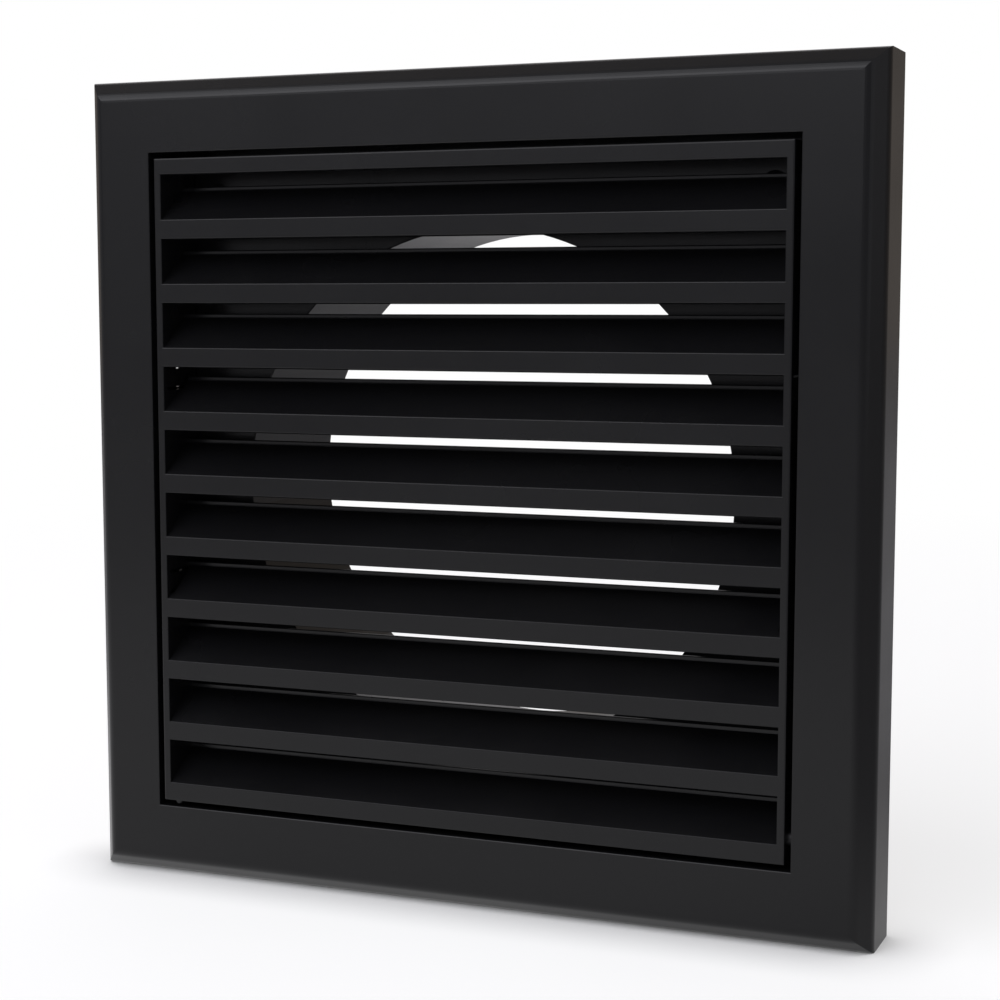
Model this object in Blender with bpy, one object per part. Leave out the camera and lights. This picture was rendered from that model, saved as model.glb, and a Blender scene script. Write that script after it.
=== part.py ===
"""A square louvred vent grille with a round duct spigot behind it, moulded in black plastic.

The base frame screws to the wall and its spigot enters the duct. The louvre insert clips into the
frame's pocket. The origin is on the duct's axis in the plane of the wall, +Y runs into the wall and
+Z is up. Within each piece, depth is counted along +Y from the flat front face.
"""

import math

import bmesh
import bpy
from mathutils import Matrix, Vector

# Face frame
FRAME_SIDE = 0.154
FRAME_DEPTH = 0.0147
RIM_SIDE = 0.0140
RIM_TOP = 0.0138
CHAMFER_DEPTH = 0.0035
CHAMFER_ANGLE = math.radians(50)
ROLL_RADIUS = 0.00245
FRAME_EDGE_RADIUS = 0.0024
POCKET_EDGE_RADIUS = 0.0002
RIM_WALL = 0.0018
POCKET_WALL = 0.0015
BACK_PLATE = 0.0016

# Ribs in the hollow behind the rim
RIB_THICKNESS = 0.0012
RIB_PITCH = 0.045
RIBS_PER_SIDE = 3
RIB_SETBACK = 0.0010

# Duct spigot, which tapers a little towards its end so that it leaves the mould
BORE_FRONT_RADIUS = 0.04865
BORE_END_RADIUS = 0.0481
BORE_EDGE = 0.0002
SPIGOT_LENGTH = 0.0313
SPIGOT_WALL = 0.0014
SPIGOT_LEAD = 0.0016
SPIGOT_LEAD_STEP = 0.0006
SPIGOT_FILLET = 0.0010

# Countersunk screw holes in the corners of the back plate
SCREW_INSET = 0.0078
SCREW_HOLE_RADIUS = 0.0016
SCREW_HEAD_RADIUS = 0.0024
SCREW_HEAD_DEPTH = 0.0008

# Louvre insert
INSERT_GAP = 0.0011
INSERT_WALL = 0.00145
INSERT_EDGE_RADIUS = 0.0003
STILE_EDGE_RADIUS = 0.0002
TOP_RAIL = 0.0030
BOTTOM_RAIL = 0.00353
LOUVRES = 10
LOUVRE_FACE = 0.00355
LOUVRE_DEPTH = 0.0082
LOUVRE_ANGLE = math.radians(34.4)
LOUVRE_THICKNESS = 0.0013
NOSE_THICKNESS = 0.0011
NOSE_DROP = 0.00027
LIP_HEIGHT = 0.00088
LIP_THICKNESS = 0.0009
LIP_FALL = 0.0002
EDGE_RADIUS = 0.0002
FILLET_RADIUS = 0.0004

# Snap fingers in the insert's side walls, and their catches
FINGER_HEIGHTS = (0.0204, -0.0191)
FINGER_WIDTH = 0.0033
FINGER_SLIT = 0.0006
FINGER_ROOT = 0.0013
FINGER_THICKNESS = 0.00125
FINGER_RELIEF = 0.0006
CATCH_REACH = 0.0007
CATCH_LAND = 0.0007
CATCH_RAMP = 0.0024
CATCH_SETBACK = 0.0004

# Pips that centre the insert in its pocket
SIDE_PIP_RADIUS = 0.0016
SIDE_PIP_DEPTH = 0.0034
SIDE_PIP_RISE = 0.00415
LOWER_PIP_RADIUS = 0.0008
LOWER_PIP_DEPTH = 0.0009
LOWER_PIP_INSET = 0.0030
DOME_TURN = math.radians(72)

# Clearance where the two pieces meet, and how far joined shapes run into each other
SEAT_GAP = 0.0003
OVERLAP = 0.0005

# Facets
ROUND_STEPS = 128
HOLE_STEPS = 32
ROLL_STEPS = 6
CORNER_STEPS = 2

# Finish: the tone of a black plastic that has no added gloss
BASE_COLOUR = (0.020, 0.020, 0.021, 1)
INSERT_COLOUR = (0.021, 0.021, 0.022, 1)
PLASTIC_ROUGHNESS = 0.48

# Sizes that follow
HALF_SIDE = FRAME_SIDE / 2
POCKET_HALF_WIDTH = HALF_SIDE - RIM_SIDE
POCKET_HALF_HEIGHT = HALF_SIDE - RIM_TOP
POCKET_DEPTH = FRAME_DEPTH - BACK_PLATE
SPIGOT_END = FRAME_DEPTH + SPIGOT_LENGTH
INSERT_HALF_WIDTH = POCKET_HALF_WIDTH - INSERT_GAP
INSERT_HALF_HEIGHT = POCKET_HALF_HEIGHT - INSERT_GAP
INSERT_DEPTH = POCKET_DEPTH - SEAT_GAP
BLADE_HALF_LENGTH = INSERT_HALF_WIDTH - INSERT_WALL
CATCH_LENGTH = CATCH_LAND + CATCH_RAMP
CATCH_FRONT = INSERT_DEPTH - CATCH_SETBACK - CATCH_LENGTH
CATCH_HEIGHT = INSERT_GAP + CATCH_REACH


def clear_scene():
    for item in list(bpy.data.objects):
        bpy.data.objects.remove(item, do_unlink=True)


def plastic(name, colour):
    made = bpy.data.materials.new(name)
    made.use_nodes = True
    made.diffuse_color = colour
    shader = made.node_tree.nodes["Principled BSDF"]
    shader.inputs["Base Color"].default_value = colour
    shader.inputs["Roughness"].default_value = PLASTIC_ROUGHNESS
    shader.inputs["Metallic"].default_value = 0
    return made


def add_object(name, mesh_builder, finish=None):
    """Turns a bmesh into an object with outward faces, smooth where it is round."""
    bmesh.ops.recalc_face_normals(mesh_builder, faces=mesh_builder.faces)
    mesh = bpy.data.meshes.new(name)
    mesh_builder.to_mesh(mesh)
    mesh_builder.free()
    mesh.shade_smooth()
    mesh.set_sharp_from_angle(angle=math.radians(30))
    made = bpy.data.objects.new(name, mesh)
    bpy.context.scene.collection.objects.link(made)
    if finish:
        mesh.materials.append(finish)
    return made


def use_boolean(target, helper, operation):
    """Joins or cuts with a helper object, which stays in the file as a wire outline."""
    helper.hide_render = True
    helper.display_type = "WIRE"
    helper.parent = target
    modifier = target.modifiers.new(f"{operation.lower()} {helper.name}", "BOOLEAN")
    modifier.operation = operation
    modifier.solver = "EXACT"
    modifier.object = helper


def rectangle_ring(mesh_builder, half_width, half_height, depth):
    corners = ((1, 1), (-1, 1), (-1, -1), (1, -1))
    return [mesh_builder.verts.new((x * half_width, depth, z * half_height)) for x, z in corners]


def round_ring(mesh_builder, radius, depth, steps):
    turns = [2 * math.pi * step / steps for step in range(steps)]
    return [mesh_builder.verts.new((radius * math.cos(a), depth, radius * math.sin(a))) for a in turns]


def bridge(mesh_builder, first, second):
    count = len(first)
    for here in range(count):
        after = (here + 1) % count
        mesh_builder.faces.new((first[here], first[after], second[after], second[here]))


def loft(mesh_builder, rings, closed=False):
    """Skins neighbouring rings; a closed loft returns to its first ring, an open one is capped."""
    for first, second in zip(rings, rings[1:]):
        bridge(mesh_builder, first, second)
    if closed:
        bridge(mesh_builder, rings[-1], rings[0])
    else:
        mesh_builder.faces.new(rings[0])
        mesh_builder.faces.new(rings[-1])


def turned(mesh_builder, profile, steps, place=Matrix()):
    """A solid of revolution about Y from (radius, depth) points, then moved by place."""
    rings = [round_ring(mesh_builder, radius, depth, steps) for radius, depth in profile]
    loft(mesh_builder, rings)
    points = [point for ring in rings for point in ring]
    bmesh.ops.transform(mesh_builder, matrix=place, verts=points)


def block(mesh_builder, low, high):
    """A box between two opposite corners."""
    (x0, y0, z0), (x1, y1, z1) = low, high
    corners = ((x0, y0), (x1, y0), (x1, y1), (x0, y1))
    loft(mesh_builder, [[mesh_builder.verts.new((x, y, z)) for x, y in corners] for z in (z0, z1)])


def prism(mesh_builder, outline, low_x, high_x):
    """Extrudes a (depth, height) outline along X."""
    near = [mesh_builder.verts.new((low_x, depth, height)) for depth, height in outline]
    far = [mesh_builder.verts.new((high_x, depth, height)) for depth, height in outline]
    loft(mesh_builder, [near, far])


def eased(outline, radii):
    """Replaces each corner of a closed outline by an arc; points are rounded so that faces stay flush."""
    result = []
    count = len(outline)
    for index, radius in enumerate(radii):
        corner = Vector(outline[index])
        before = (Vector(outline[index - 1]) - corner).normalized()
        after = (Vector(outline[(index + 1) % count]) - corner).normalized()
        half = before.angle(after) / 2
        centre = corner + (before + after).normalized() * radius / math.sin(half)
        start = corner + before * radius / math.tan(half) - centre
        turn = start.angle_signed(corner + after * radius / math.tan(half) - centre)
        for step in range(CORNER_STEPS + 1):
            spoke = start.copy()
            spoke.rotate(Matrix.Rotation(-turn * step / CORNER_STEPS, 2))
            result.append(tuple(round(value, 7) for value in centre + spoke))
    return result


def skin_arc(centre, radius, start, end, steps):
    """Points round a centre; the skin's normal turns from the front (0) to the side (a quarter turn)."""
    turns = [start + (end - start) * step / steps for step in range(steps + 1)]
    return [(centre[0] + radius * math.sin(turn), centre[1] - radius * math.cos(turn)) for turn in turns]


def face_edge():
    """(half side, depth) points of the rim's outside, from the flat face round the roll to the wall."""
    side_on = math.pi / 2
    chamfer_run = CHAMFER_DEPTH / math.tan(CHAMFER_ANGLE)
    roll_start = HALF_SIDE - chamfer_run - ROLL_RADIUS * math.tan(CHAMFER_ANGLE / 2)
    roll = skin_arc((roll_start, ROLL_RADIUS), ROLL_RADIUS, 0, CHAMFER_ANGLE, ROLL_STEPS)
    edge_end = CHAMFER_DEPTH + FRAME_EDGE_RADIUS * math.tan((side_on - CHAMFER_ANGLE) / 2)
    edge_centre = (HALF_SIDE - FRAME_EDGE_RADIUS, edge_end)
    return roll + skin_arc(edge_centre, FRAME_EDGE_RADIUS, CHAMFER_ANGLE, side_on, ROLL_STEPS)


def rim_inside(wall):
    """(half side, depth) corners of the hollow behind the rim, at this distance under its skin."""
    chamfer_foot = HALF_SIDE - CHAMFER_DEPTH / math.tan(CHAMFER_ANGLE)
    inner_foot = chamfer_foot - wall * math.sin(CHAMFER_ANGLE)
    inner_rise = wall * math.cos(CHAMFER_ANGLE)
    side = HALF_SIDE - wall
    shoulder = inner_rise + (side - inner_foot) * math.tan(CHAMFER_ANGLE)
    crown = inner_foot + (wall - inner_rise) / math.tan(CHAMFER_ANGLE)
    return [(side, shoulder), (crown, wall)]


def base_shell():
    """The rim, its pocket and the back plate as one lofted skin, with the hollow open to the wall."""
    made = bmesh.new()
    pocket = (POCKET_HALF_WIDTH, POCKET_HALF_HEIGHT)
    channel = (POCKET_HALF_WIDTH + POCKET_WALL, POCKET_HALF_HEIGHT + POCKET_WALL)
    mouth = (POCKET_EDGE_RADIUS, POCKET_EDGE_RADIUS)
    sections = [(*pocket, POCKET_DEPTH)]
    for out, depth in skin_arc(mouth, POCKET_EDGE_RADIUS, -math.pi / 2, 0, CORNER_STEPS):
        sections.append((pocket[0] + out, pocket[1] + out, depth))
    sections += [(across, across, depth) for across, depth in face_edge()]
    sections.append((HALF_SIDE, HALF_SIDE, FRAME_DEPTH))
    sections.append((HALF_SIDE - RIM_WALL, HALF_SIDE - RIM_WALL, FRAME_DEPTH))
    sections += [(across, across, depth) for across, depth in rim_inside(RIM_WALL)]
    sections += [(*channel, RIM_WALL), (*channel, FRAME_DEPTH)]
    loft(made, [rectangle_ring(made, *section) for section in sections])
    return made


def rim_ribs():
    """Ribs across the hollow of all four sides, let into the skin round them."""
    made = bmesh.new()
    skin = rim_inside(RIM_WALL - OVERLAP)
    rear = FRAME_DEPTH - RIB_SETBACK
    for quarter in range(4):
        turn = Matrix.Rotation(quarter * math.pi / 2, 4, "Y")
        pocket = POCKET_HALF_WIDTH if quarter % 2 == 0 else POCKET_HALF_HEIGHT
        root = pocket + POCKET_WALL - OVERLAP
        outline = [(root, rear), (skin[0][0], rear), *skin, (root, RIM_WALL - OVERLAP)]
        for rib in range(RIBS_PER_SIDE):
            middle = (rib - (RIBS_PER_SIDE - 1) / 2) * RIB_PITCH
            sides = [middle - RIB_THICKNESS / 2, middle + RIB_THICKNESS / 2]
            rings = [[made.verts.new((x, y, z)) for x, y in outline] for z in sides]
            loft(made, rings)
            bmesh.ops.transform(made, matrix=turn, verts=rings[0] + rings[1])
    return made


def bore_radius(depth):
    taper = (BORE_END_RADIUS - BORE_FRONT_RADIUS) / (SPIGOT_END - POCKET_DEPTH)
    return BORE_FRONT_RADIUS + taper * (depth - POCKET_DEPTH)


def spigot_body():
    """The spigot's outside, as a turned plug: root fillet, drafted side and lead-in."""
    made = bmesh.new()
    root = POCKET_DEPTH + BACK_PLATE / 2
    lead = SPIGOT_END - SPIGOT_LEAD
    fillet_top = bore_radius(FRAME_DEPTH) + SPIGOT_WALL + SPIGOT_FILLET
    profile = [(fillet_top, root)]
    for step in range(ROLL_STEPS + 1):
        turn = math.pi / 2 * step / ROLL_STEPS
        radius = fillet_top - SPIGOT_FILLET * math.sin(turn)
        profile.append((radius, FRAME_DEPTH + SPIGOT_FILLET * (1 - math.cos(turn))))
    profile.append((bore_radius(lead) + SPIGOT_WALL, lead))
    profile.append((bore_radius(SPIGOT_END) + SPIGOT_WALL - SPIGOT_LEAD_STEP, SPIGOT_END))
    turned(made, profile, ROUND_STEPS)
    return made


def bore_cutter():
    """The bore's space, flared at the front so that its edge is broken."""
    made = bmesh.new()
    edge = POCKET_DEPTH + BORE_EDGE
    end = SPIGOT_END + OVERLAP
    flare = (bore_radius(edge) + BORE_EDGE + OVERLAP, POCKET_DEPTH - OVERLAP)
    turned(made, [flare, (bore_radius(edge), edge), (bore_radius(end), end)], ROUND_STEPS)
    return made


def screw_cutters():
    """Four holes: a cone for the screw's head and a clearance hole for its shank."""
    made = bmesh.new()
    flare = (SCREW_HEAD_RADIUS - SCREW_HOLE_RADIUS) / SCREW_HEAD_DEPTH
    profile = [
        (SCREW_HEAD_RADIUS + OVERLAP * flare, POCKET_DEPTH - OVERLAP),
        (SCREW_HOLE_RADIUS, POCKET_DEPTH + SCREW_HEAD_DEPTH),
        (SCREW_HOLE_RADIUS, FRAME_DEPTH + OVERLAP),
    ]
    for x in (-1, 1):
        for z in (-1, 1):
            centre = (x * (POCKET_HALF_WIDTH - SCREW_INSET), 0, z * (POCKET_HALF_HEIGHT - SCREW_INSET))
            turned(made, profile, HOLE_STEPS, Matrix.Translation(centre))
    return made


def catch_windows():
    """Holes through the pocket's side walls that the catches click into."""
    made = bmesh.new()
    half = FINGER_WIDTH / 2 + SEAT_GAP
    for side in (-1, 1):
        for middle in FINGER_HEIGHTS:
            near = side * (POCKET_HALF_WIDTH - OVERLAP)
            far = side * (POCKET_HALF_WIDTH + POCKET_WALL + OVERLAP)
            low = (min(near, far), CATCH_FRONT - SEAT_GAP, middle - half)
            high = (max(near, far), INSERT_DEPTH - CATCH_SETBACK, middle + half)
            block(made, low, high)
    return made


def build_base(finish):
    base = add_object("base_frame", base_shell(), finish)
    use_boolean(base, add_object("rim_ribs", rim_ribs()), "UNION")
    use_boolean(base, add_object("spigot_body", spigot_body()), "UNION")
    use_boolean(base, add_object("bore_cutter", bore_cutter()), "DIFFERENCE")
    use_boolean(base, add_object("screw_cutters", screw_cutters()), "DIFFERENCE")
    use_boolean(base, add_object("catch_windows", catch_windows()), "DIFFERENCE")
    return base


def insert_tray():
    """The insert's four walls as a closed loft, with the front edges eased."""
    made = bmesh.new()
    outer = (-INSERT_EDGE_RADIUS, INSERT_EDGE_RADIUS)
    inner = (STILE_EDGE_RADIUS - INSERT_WALL, STILE_EDGE_RADIUS)
    sections = skin_arc(outer, INSERT_EDGE_RADIUS, 0, math.pi / 2, CORNER_STEPS)
    sections += [(0, INSERT_DEPTH), (-INSERT_WALL, INSERT_DEPTH)]
    sections += skin_arc(inner, STILE_EDGE_RADIUS, -math.pi / 2, 0, CORNER_STEPS)
    rings = [
        rectangle_ring(made, INSERT_HALF_WIDTH + out, INSERT_HALF_HEIGHT + out, depth)
        for out, depth in sections
    ]
    loft(made, rings, closed=True)
    return made


def blade_outline(face):
    """(depth, height) section of a blade: front face, slope and the upstand at its back."""
    slope = math.tan(LOUVRE_ANGLE)
    under = LOUVRE_THICKNESS / math.cos(LOUVRE_ANGLE)
    foot = LOUVRE_DEPTH * slope
    back = LOUVRE_DEPTH + LIP_THICKNESS
    corners = [
        (0, 0),
        (LOUVRE_DEPTH, foot),
        (LOUVRE_DEPTH, foot + LIP_HEIGHT),
        (back, foot + LIP_HEIGHT - LIP_FALL),
        (back, back * slope - under),
        (NOSE_THICKNESS, NOSE_THICKNESS * slope - under),
        (NOSE_THICKNESS, -face - NOSE_DROP),
        (0, -face),
    ]
    fine = EDGE_RADIUS
    return eased(corners, [fine, FILLET_RADIUS, fine, fine, fine, FILLET_RADIUS, fine, fine])


def blades():
    """The stack of blades between the side walls; the lowest is also the bottom rail."""
    made = bmesh.new()
    reach = BLADE_HALF_LENGTH + OVERLAP
    span = 2 * INSERT_HALF_HEIGHT - TOP_RAIL - BOTTOM_RAIL + LOUVRE_FACE
    pitch = span / LOUVRES
    bottom_face = BOTTOM_RAIL - NOSE_DROP - INSERT_WALL / 2
    for number in range(1, LOUVRES + 1):
        edge = INSERT_HALF_HEIGHT - TOP_RAIL + LOUVRE_FACE - number * pitch
        face = LOUVRE_FACE if number < LOUVRES else bottom_face
        outline = [(depth, edge + height) for depth, height in blade_outline(face)]
        prism(made, outline, -reach, reach)
    return made


def top_rail():
    """The face that hangs from the tray's top wall, with the same slanting underside as a blade."""
    made = bmesh.new()
    reach = BLADE_HALF_LENGTH + OVERLAP
    edge = INSERT_HALF_HEIGHT - TOP_RAIL
    roof = INSERT_HALF_HEIGHT - INSERT_WALL / 2
    corners = [(0, roof), (NOSE_THICKNESS, roof), (NOSE_THICKNESS, edge - NOSE_DROP), (0, edge)]
    outline = corners[:2] + eased(corners, [EDGE_RADIUS] * 4)[2 * (CORNER_STEPS + 1) :]
    prism(made, outline, -reach, reach)
    return made


def finger_cuts(low_x, high_x, low_z, high_z):
    """Boxes from the fingers' roots out past the insert's back edge, on both side walls."""
    made = bmesh.new()
    for side in (-1, 1):
        for middle in FINGER_HEIGHTS:
            near, far = side * low_x, side * high_x
            low = (min(near, far), FINGER_ROOT, middle + low_z)
            high = (max(near, far), INSERT_DEPTH + OVERLAP, middle + high_z)
            block(made, low, high)
    return made


def catches():
    """Wedges on the fingers: a land that holds in the window and a ramp that leads it in."""
    made = bmesh.new()
    root = INSERT_HALF_WIDTH - OVERLAP
    tip = INSERT_HALF_WIDTH + CATCH_HEIGHT
    for side in (-1, 1):
        for middle in FINGER_HEIGHTS:
            outline = [
                (root, CATCH_FRONT),
                (tip, CATCH_FRONT),
                (tip, CATCH_FRONT + CATCH_LAND),
                (INSERT_HALF_WIDTH, CATCH_FRONT + CATCH_LENGTH),
                (root, CATCH_FRONT + CATCH_LENGTH),
            ]
            heights = (middle - FINGER_WIDTH / 2, middle + FINGER_WIDTH / 2)
            loft(made, [[made.verts.new((side * x, y, z)) for x, y in outline] for z in heights])
    return made


def domed(radius, height):
    """(radius, height) points of a pip whose end is rounded, with a small flat on its tip."""
    turns = [DOME_TURN * step / ROLL_STEPS for step in range(ROLL_STEPS + 1)]
    rise = height / math.sin(DOME_TURN)
    return [(radius, -OVERLAP)] + [(radius * math.cos(a), rise * math.sin(a)) for a in turns]


def pips():
    """Flat pips on the side walls and a domed one under the bottom wall, all just clear of the pocket."""
    made = bmesh.new()
    reach = INSERT_GAP - SEAT_GAP
    height = -INSERT_HALF_HEIGHT + SIDE_PIP_RISE
    for side in (-1, 1):
        turn = Matrix.Rotation(-side * math.pi / 2, 4, "Z")
        place = Matrix.Translation((side * INSERT_HALF_WIDTH, SIDE_PIP_DEPTH, height)) @ turn
        turned(made, [(SIDE_PIP_RADIUS, -OVERLAP), (SIDE_PIP_RADIUS, reach)], HOLE_STEPS, place)
    corner = (-INSERT_HALF_WIDTH + LOWER_PIP_INSET, LOWER_PIP_DEPTH, -INSERT_HALF_HEIGHT)
    place = Matrix.Translation(corner) @ Matrix.Rotation(-math.pi / 2, 4, "X")
    turned(made, domed(LOWER_PIP_RADIUS, reach), HOLE_STEPS, place)
    return made


def build_insert(finish):
    insert = add_object("louvre_insert", insert_tray(), finish)
    use_boolean(insert, add_object("blades", blades()), "UNION")
    use_boolean(insert, add_object("top_rail", top_rail()), "UNION")
    inside = BLADE_HALF_LENGTH
    edge = FINGER_WIDTH / 2
    slit = edge + FINGER_SLIT
    relief = finger_cuts(inside - FINGER_RELIEF, INSERT_HALF_WIDTH - FINGER_THICKNESS, -slit, slit)
    upper = finger_cuts(inside - OVERLAP, INSERT_HALF_WIDTH + OVERLAP, edge, slit)
    lower = finger_cuts(inside - OVERLAP, INSERT_HALF_WIDTH + OVERLAP, -slit, -edge)
    use_boolean(insert, add_object("finger_relief", relief), "DIFFERENCE")
    use_boolean(insert, add_object("upper_slits", upper), "DIFFERENCE")
    use_boolean(insert, add_object("lower_slits", lower), "DIFFERENCE")
    use_boolean(insert, add_object("catches", catches()), "UNION")
    use_boolean(insert, add_object("pips", pips()), "UNION")
    return insert


def main():
    clear_scene()
    grille = bpy.data.objects.new("vent_grille", None)
    bpy.context.scene.collection.objects.link(grille)
    pieces = (
        build_base(plastic("base plastic", BASE_COLOUR)),
        build_insert(plastic("insert plastic", INSERT_COLOUR)),
    )
    for piece in pieces:
        piece.parent = grille
        piece.location = (0, -FRAME_DEPTH, 0)


main()
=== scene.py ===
"""Dresses the vent grille: two black moulded plastics, soft studio light, a white floor and the camera."""

import math

import bpy
from mathutils import Matrix, Vector


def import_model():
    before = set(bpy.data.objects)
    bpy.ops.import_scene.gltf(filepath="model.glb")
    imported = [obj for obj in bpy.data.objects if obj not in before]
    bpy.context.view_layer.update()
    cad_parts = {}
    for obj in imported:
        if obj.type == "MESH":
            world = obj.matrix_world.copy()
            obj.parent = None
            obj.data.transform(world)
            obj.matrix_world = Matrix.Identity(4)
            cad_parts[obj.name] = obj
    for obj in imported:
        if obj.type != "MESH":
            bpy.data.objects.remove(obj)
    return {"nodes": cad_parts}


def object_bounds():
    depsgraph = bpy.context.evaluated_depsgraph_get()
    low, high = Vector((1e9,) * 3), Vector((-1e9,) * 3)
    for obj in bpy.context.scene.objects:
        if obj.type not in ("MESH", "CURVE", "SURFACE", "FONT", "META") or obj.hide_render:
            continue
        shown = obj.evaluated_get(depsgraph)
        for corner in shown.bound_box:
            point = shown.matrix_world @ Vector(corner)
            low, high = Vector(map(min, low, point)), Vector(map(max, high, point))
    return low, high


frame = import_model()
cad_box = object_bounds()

# Camera: metres, degrees, millimetres for sensor and lens, and shifts in widths of the sensor
CAMERA_PLACE = (0.14766, -0.36269, 0.03706)
CAMERA_TURN = 23.1806
CAMERA_TILT = -6.4008
CAMERA_ROLL = -0.1406
CAMERA_NEAR = 0.01
SENSOR_WIDTH = 36.0
LENS = 75.339
SHIFT_X = 0.0525
SHIFT_Y = 0.0254

# Plastic: the tone of each moulding, and how far its flow marks change tone and gloss
BASE_TONE = (0.0068, 0.0068, 0.0075)
INSERT_TONE = (0.0070, 0.0070, 0.0077)
TONE_VARIES = 0.12
ROUGHNESS = 0.25
ROUGHNESS_VARIES = 0.04
SPECULAR = 0.33

# Marks in the plastic: sizes and heights in metres, and the detail of each noise
FLOW_SIZE = 0.03
FLOW_DETAIL = 3
SINK_SIZE = 0.02
SINK_HEIGHT = 0.00003
SINK_DETAIL = 1
GRAIN_SIZE = 0.0003
GRAIN_HEIGHT = 0.000006
GRAIN_DETAIL = 1
FLECK_SIZE = 0.0012
FLECK_DETAIL = 2

# Flecks show where their noise is above FLECK_FROM, and take their full share at FLECK_FULL
FLECK_TONE = (0.0160, 0.0160, 0.0160, 1)
FLECK_SHARE = 0.2
FLECK_FROM = 0.5
FLECK_FULL = 0.8

# Nearly all of a noise lies between these two levels
NOISE_LOW = 0.3
NOISE_HIGH = 0.7

# Floor: its size, its tone, and about the level to which the lamps alone light it
FLOOR_RADIUS = 3.0
FLOOR_STEPS = 64
FLOOR_TONE = (0.62, 0.62, 0.62, 1)
FLOOR_LEVEL = 0.34

# The floor's glow is darkened within this reach of the grille's lower edge, a painted contact shadow on top
# of the real one
PAINTED_SHADOW_REACH = 0.015
PAINTED_SHADOW_SAMPLES = 2

# Distances from the grille at which the floor begins to turn plain white, and is wholly so
WHITE_FROM = 0.35
WHITE_AT = 0.75
WHITE = (1, 1, 1, 1)
WHITE_STRENGTH = 1.0

# A painted reflection: a pool of floor in front of the grille that glows only for mirrored rays, so the
# plastic mirrors it as pale:
# a point above its middle, its share, and the distances from that point over which it fades
PAINTED_REFLECTION_PLACE = Vector((-0.12, -0.15, 0))
PAINTED_REFLECTION_SHARE = 0.65
PAINTED_REFLECTION_FROM = 0.20
PAINTED_REFLECTION_TO = 0.35

# The backdrop behind the grille that the plastic mirrors as pale: its direction, share and half angles
BACKDROP_WAY = Vector((-0.39, 0.92, -0.11)).normalized()
BACKDROP_SHARE = 0.15
BACKDROP_INNER = math.radians(12)
BACKDROP_OUTER = math.radians(20)

# Room: its light, its two tones, and the depths between which one turns into the other, where the
# depth of a direction is -1 straight in front and 1 straight behind
ROOM_LIGHT = 0.30
ROOM_FRONT_TONE = (1.0, 1.0, 1.08, 1)
ROOM_BACK_TONE = (0.66, 0.58, 0.52, 1)
ROOM_FRONT_DEPTH = -0.3
ROOM_BACK_DEPTH = 0.6

# Lamps: name, turn and rise in degrees, width and height in metres, power in watts.
# Turn 0 is straight in front of the grille, and rise is the height above the horizon.
LAMP_DISTANCE = 1.4
LAMP_TONE = (1.0, 1.0, 1.05)
LAMPS = (
    ("key", -34, 44, 1.8, 1.2, 6.2),
    ("front_left", -30, 30, 0.7, 0.7, 1.4),
    ("front", 0, 25, 0.9, 0.9, 1.5),
    ("low", -28, 14, 1.4, 0.7, 0.6),
    ("side", 75, 15, 0.9, 0.9, 0.5),
    ("rear", -158, 32, 1.4, 1.0, 2.5),
)

# A Mix node's colour sockets, which share their names with its other sockets
MIX_FIRST = 6
MIX_SECOND = 7
MIX_RESULT = 2


def camera():
    """The photograph's view: a tilted lens with a shift, so that the uprights lean as they do there."""
    made = bpy.data.objects.new("camera", bpy.data.cameras.new("camera"))
    bpy.context.scene.collection.objects.link(made)
    turn = Matrix.Rotation(math.radians(CAMERA_TURN), 3, "Z")
    tilt = Matrix.Rotation(math.radians(90 + CAMERA_TILT), 3, "X")
    roll = Matrix.Rotation(math.radians(CAMERA_ROLL), 3, "Z")
    made.matrix_world = Matrix.LocRotScale(Vector(CAMERA_PLACE), turn @ tilt @ roll, None)
    made.data.sensor_width = SENSOR_WIDTH
    made.data.lens = LENS
    made.data.shift_x = SHIFT_X
    made.data.shift_y = SHIFT_Y
    made.data.clip_start = CAMERA_NEAR
    bpy.context.scene.camera = made


def feed(tree, socket, value):
    """Gives a shader input a plain value, or links it to the output that feeds it."""
    if isinstance(value, bpy.types.NodeSocket):
        tree.links.new(value, socket)
    else:
        socket.default_value = value


def add(tree, kind, inputs=None, **settings):
    """A shader node with these inputs, by name or number, and these settings."""
    made = tree.nodes.new("ShaderNode" + kind)
    for name, value in settings.items():
        setattr(made, name, value)
    for name, value in (inputs or {}).items():
        feed(tree, made.inputs[name], value)
    return made


def noise(tree, place, size, detail):
    """Noise whose features measure about this size in metres."""
    return add(tree, "TexNoise", {"Vector": place, "Scale": 1 / size, "Detail": detail}).outputs["Fac"]


def spread(tree, value, low, high, start, stop):
    """Low where the value is at start, high where it is at stop, evenly between, and level beyond."""
    inputs = {"Value": value, "From Min": start, "From Max": stop, "To Min": low, "To Max": high}
    return add(tree, "MapRange", inputs).outputs["Result"]


def blend(tree, share, first, second):
    """A colour that goes from the first to the second as the share rises."""
    colours = {MIX_FIRST: first, MIX_SECOND: second}
    made = add(tree, "Mix", {"Factor": share, **colours}, data_type="RGBA")
    return made.outputs[MIX_RESULT]


def total(tree, first, second):
    """The sum of two shares, at most 1."""
    return add(tree, "Math", {0: first, 1: second}, operation="ADD", use_clamp=True).outputs[0]


def product(tree, first, second):
    """One value times another."""
    return add(tree, "Math", {0: first, 1: second}, operation="MULTIPLY").outputs[0]


def cleared(made):
    """The node tree of a new material or world, emptied."""
    made.use_nodes = True
    made.node_tree.nodes.clear()
    return made.node_tree


def tinted(tone, factor):
    """A tone made lighter or darker, as an opaque colour."""
    return (*[part * factor for part in tone], 1)


def plastic_colour(tree, tone, flow, fleck):
    """The tone with faint flow marks, and with paler flecks in it."""
    body = blend(tree, flow, tinted(tone, 1 - TONE_VARIES), tinted(tone, 1 + TONE_VARIES))
    flecks = spread(tree, fleck, 0, FLECK_SHARE, FLECK_FROM, FLECK_FULL)
    return blend(tree, flecks, body, FLECK_TONE)


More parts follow.
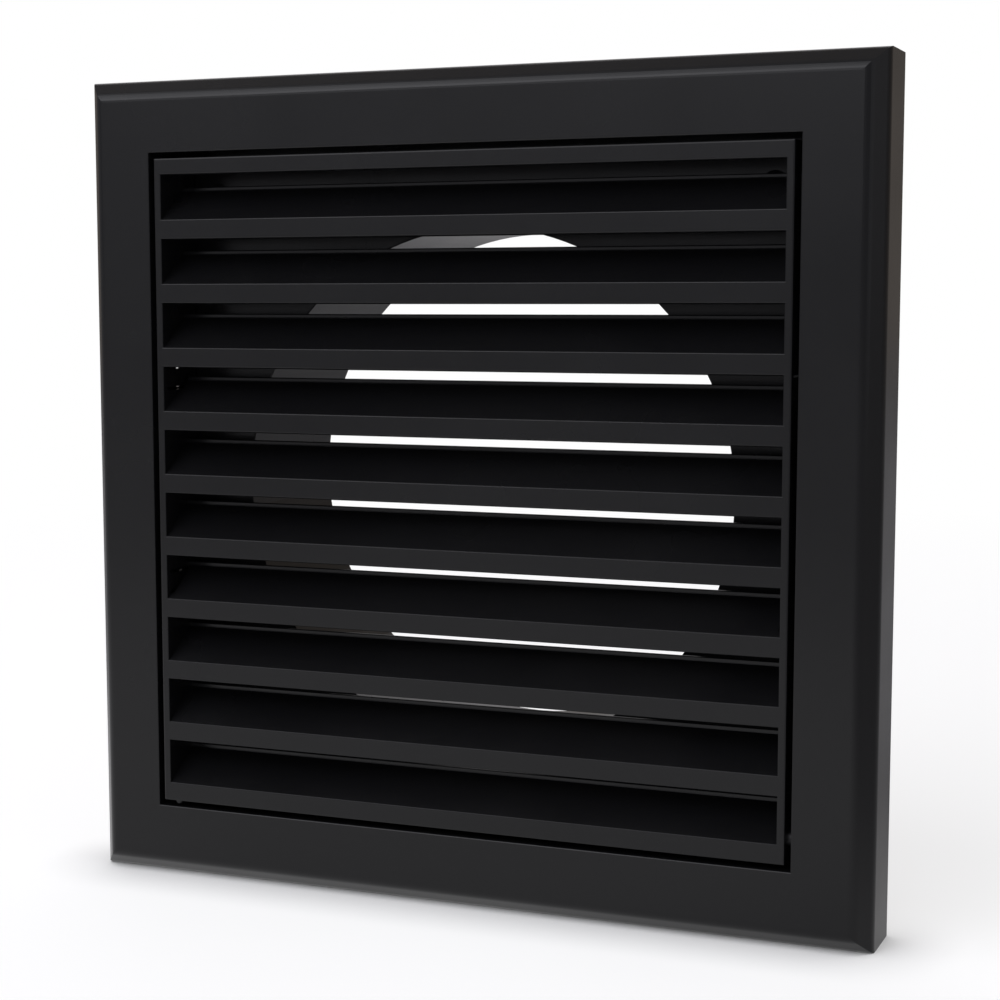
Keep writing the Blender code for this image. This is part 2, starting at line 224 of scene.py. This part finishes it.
def plastic_normal(tree, sink, grain):
    """A fine grain on slight sinks."""
    waves = add(tree, "Bump", {"Height": sink, "Distance": SINK_HEIGHT}).outputs["Normal"]
    return add(tree, "Bump", {"Height": grain, "Distance": GRAIN_HEIGHT, "Normal": waves}).outputs["Normal"]


def plastic(name, tone):
    """Satin black moulding with uneven gloss."""
    made = bpy.data.materials.new(name)
    made.use_nodes = True
    tree = made.node_tree
    place = add(tree, "TexCoord").outputs["Object"]
    flow = noise(tree, place, FLOW_SIZE, FLOW_DETAIL)
    fleck = noise(tree, place, FLECK_SIZE, FLECK_DETAIL)
    grain = noise(tree, place, GRAIN_SIZE, GRAIN_DETAIL)
    sink = noise(tree, place, SINK_SIZE, SINK_DETAIL)
    smooth = ROUGHNESS - ROUGHNESS_VARIES
    rough = ROUGHNESS + ROUGHNESS_VARIES
    shader = tree.nodes["Principled BSDF"]
    feed(tree, shader.inputs["Base Color"], plastic_colour(tree, tone, flow, fleck))
    feed(tree, shader.inputs["Roughness"], spread(tree, flow, smooth, rough, NOISE_LOW, NOISE_HIGH))
    feed(tree, shader.inputs["Normal"], plastic_normal(tree, sink, grain))
    feed(tree, shader.inputs["Specular IOR Level"], SPECULAR)
    return made


def finish_node(name, material):
    """Puts a material on all of a CAD node."""
    for place in frame["nodes"][name].material_slots:
        place.material = material


def mirrored_rays(tree, path):
    """1 for what a glossy surface mirrors or a clear one lets through, and 0 for all else."""
    return total(tree, path.outputs["Is Glossy Ray"], path.outputs["Is Transmission Ray"])


def white_share(tree, path, way):
    """How white a place turns: wholly for the camera, and by a share where it is mirrored from behind.

    way points from the grille to the place.
    """
    facing = add(tree, "VectorMath", {0: way, 1: BACKDROP_WAY}, operation="DOT_PRODUCT").outputs["Value"]
    backdrop = spread(tree, facing, 0, BACKDROP_SHARE, math.cos(BACKDROP_OUTER), math.cos(BACKDROP_INNER))
    mirrored = product(tree, mirrored_rays(tree, path), backdrop)
    return total(tree, path.outputs["Is Camera Ray"], mirrored)


def floor_lift(tree, path, place):
    """The glow that lifts the lit floor to white for the camera, and a pool of it that only mirrored rays
    see, a painted reflection.

    A lift by the same amount everywhere keeps the real shadows, and close under the grille it fades, which
    paints a contact shadow.
    """
    # Ambient occlusion dims the camera's glow near the grille: painted contact shadow
    inputs = {"Distance": PAINTED_SHADOW_REACH}
    painted_shadow = add(tree, "AmbientOcclusion", inputs, samples=PAINTED_SHADOW_SAMPLES).outputs["AO"]
    seen = product(tree, path.outputs["Is Camera Ray"], painted_shadow)
    # The pool glows only for mirrored rays: a painted reflection in the grille's lower faces
    from_painted_reflection = add(tree, "VectorMath", {0: place, 1: PAINTED_REFLECTION_PLACE}, operation="DISTANCE").outputs["Value"]
    painted_reflection = spread(tree, from_painted_reflection, PAINTED_REFLECTION_SHARE, 0, PAINTED_REFLECTION_FROM, PAINTED_REFLECTION_TO)
    mirrored = product(tree, mirrored_rays(tree, path), painted_reflection)
    return product(tree, total(tree, seen, mirrored), 1 - FLOOR_LEVEL)


def floor_material():
    """Pale and matt, with the grille's real shadow and a painted contact shadow, a painted reflection pool,
    and plain white far out where the camera sees it.
    """
    made = bpy.data.materials.new("floor")
    tree = cleared(made)
    path = add(tree, "LightPath")
    place = add(tree, "NewGeometry").outputs["Position"]
    matt = add(tree, "BsdfDiffuse", {"Color": FLOOR_TONE})
    glow = add(tree, "Emission", {"Strength": floor_lift(tree, path, place)})
    near = add(tree, "AddShader", {0: matt.outputs[0], 1: glow.outputs[0]})
    white = add(tree, "Emission", {"Strength": WHITE_STRENGTH})
    way = add(tree, "VectorMath", {0: place}, operation="NORMALIZE").outputs["Vector"]
    away = add(tree, "VectorMath", {0: place}, operation="LENGTH").outputs["Value"]
    far = spread(tree, away, 0, 1, WHITE_FROM, WHITE_AT)
    share = product(tree, far, white_share(tree, path, way))
    both = add(tree, "MixShader", {0: share, 1: near.outputs[0], 2: white.outputs[0]})
    add(tree, "OutputMaterial", {"Surface": both.outputs[0]})
    return made


def floor():
    """A round floor at the height of the grille's lower edge."""
    ground = cad_box[0].z
    mesh = bpy.data.meshes.new("floor")
    rim = [2 * math.pi * step / FLOOR_STEPS for step in range(FLOOR_STEPS)]
    points = [(FLOOR_RADIUS * math.cos(turn), FLOOR_RADIUS * math.sin(turn), ground) for turn in rim]
    mesh.from_pydata(points, [], [tuple(range(FLOOR_STEPS))])
    mesh.materials.append(floor_material())
    made = bpy.data.objects.new("floor", mesh)
    bpy.context.scene.collection.objects.link(made)


def lamp(name, turn, rise, width, height, power):
    """An oval softbox aimed at the grille."""
    around, up = math.radians(turn), math.radians(rise)
    flat = LAMP_DISTANCE * math.cos(up)
    place = Vector((flat * math.sin(around), -flat * math.cos(around), LAMP_DISTANCE * math.sin(up)))
    data = bpy.data.lights.new(name, "AREA")
    data.shape = "ELLIPSE"
    data.size = width
    data.size_y = height
    data.energy = power
    data.color = LAMP_TONE
    made = bpy.data.objects.new(name, data)
    made.location = place
    made.rotation_euler = (-place).to_track_quat("-Z", "Y").to_euler()
    bpy.context.scene.collection.objects.link(made)


def world():
    """An even, dim room, cool in front and warm behind, which the camera sees as white."""
    made = bpy.data.worlds.new("room")
    tree = cleared(made)
    path = add(tree, "LightPath")
    way = add(tree, "TexCoord").outputs["Generated"]
    depth = add(tree, "SeparateXYZ", {"Vector": way}).outputs["Y"]
    behind = spread(tree, depth, 0, 1, ROOM_FRONT_DEPTH, ROOM_BACK_DEPTH)
    tone = blend(tree, behind, ROOM_FRONT_TONE, ROOM_BACK_TONE)
    room = add(tree, "Background", {"Color": tone, "Strength": ROOM_LIGHT})
    white = add(tree, "Background", {"Color": WHITE, "Strength": WHITE_STRENGTH})
    share = white_share(tree, path, way)
    both = add(tree, "MixShader", {0: share, 1: room.outputs[0], 2: white.outputs[0]})
    add(tree, "OutputWorld", {"Surface": both.outputs[0]})
    bpy.context.scene.world = made


bpy.context.scene.view_settings.view_transform = "Standard"
camera()
finish_node("base_frame", plastic("base_plastic", BASE_TONE))
finish_node("louvre_insert", plastic("insert_plastic", INSERT_TONE))
floor()
for settings in LAMPS:
    lamp(*settings)
world()
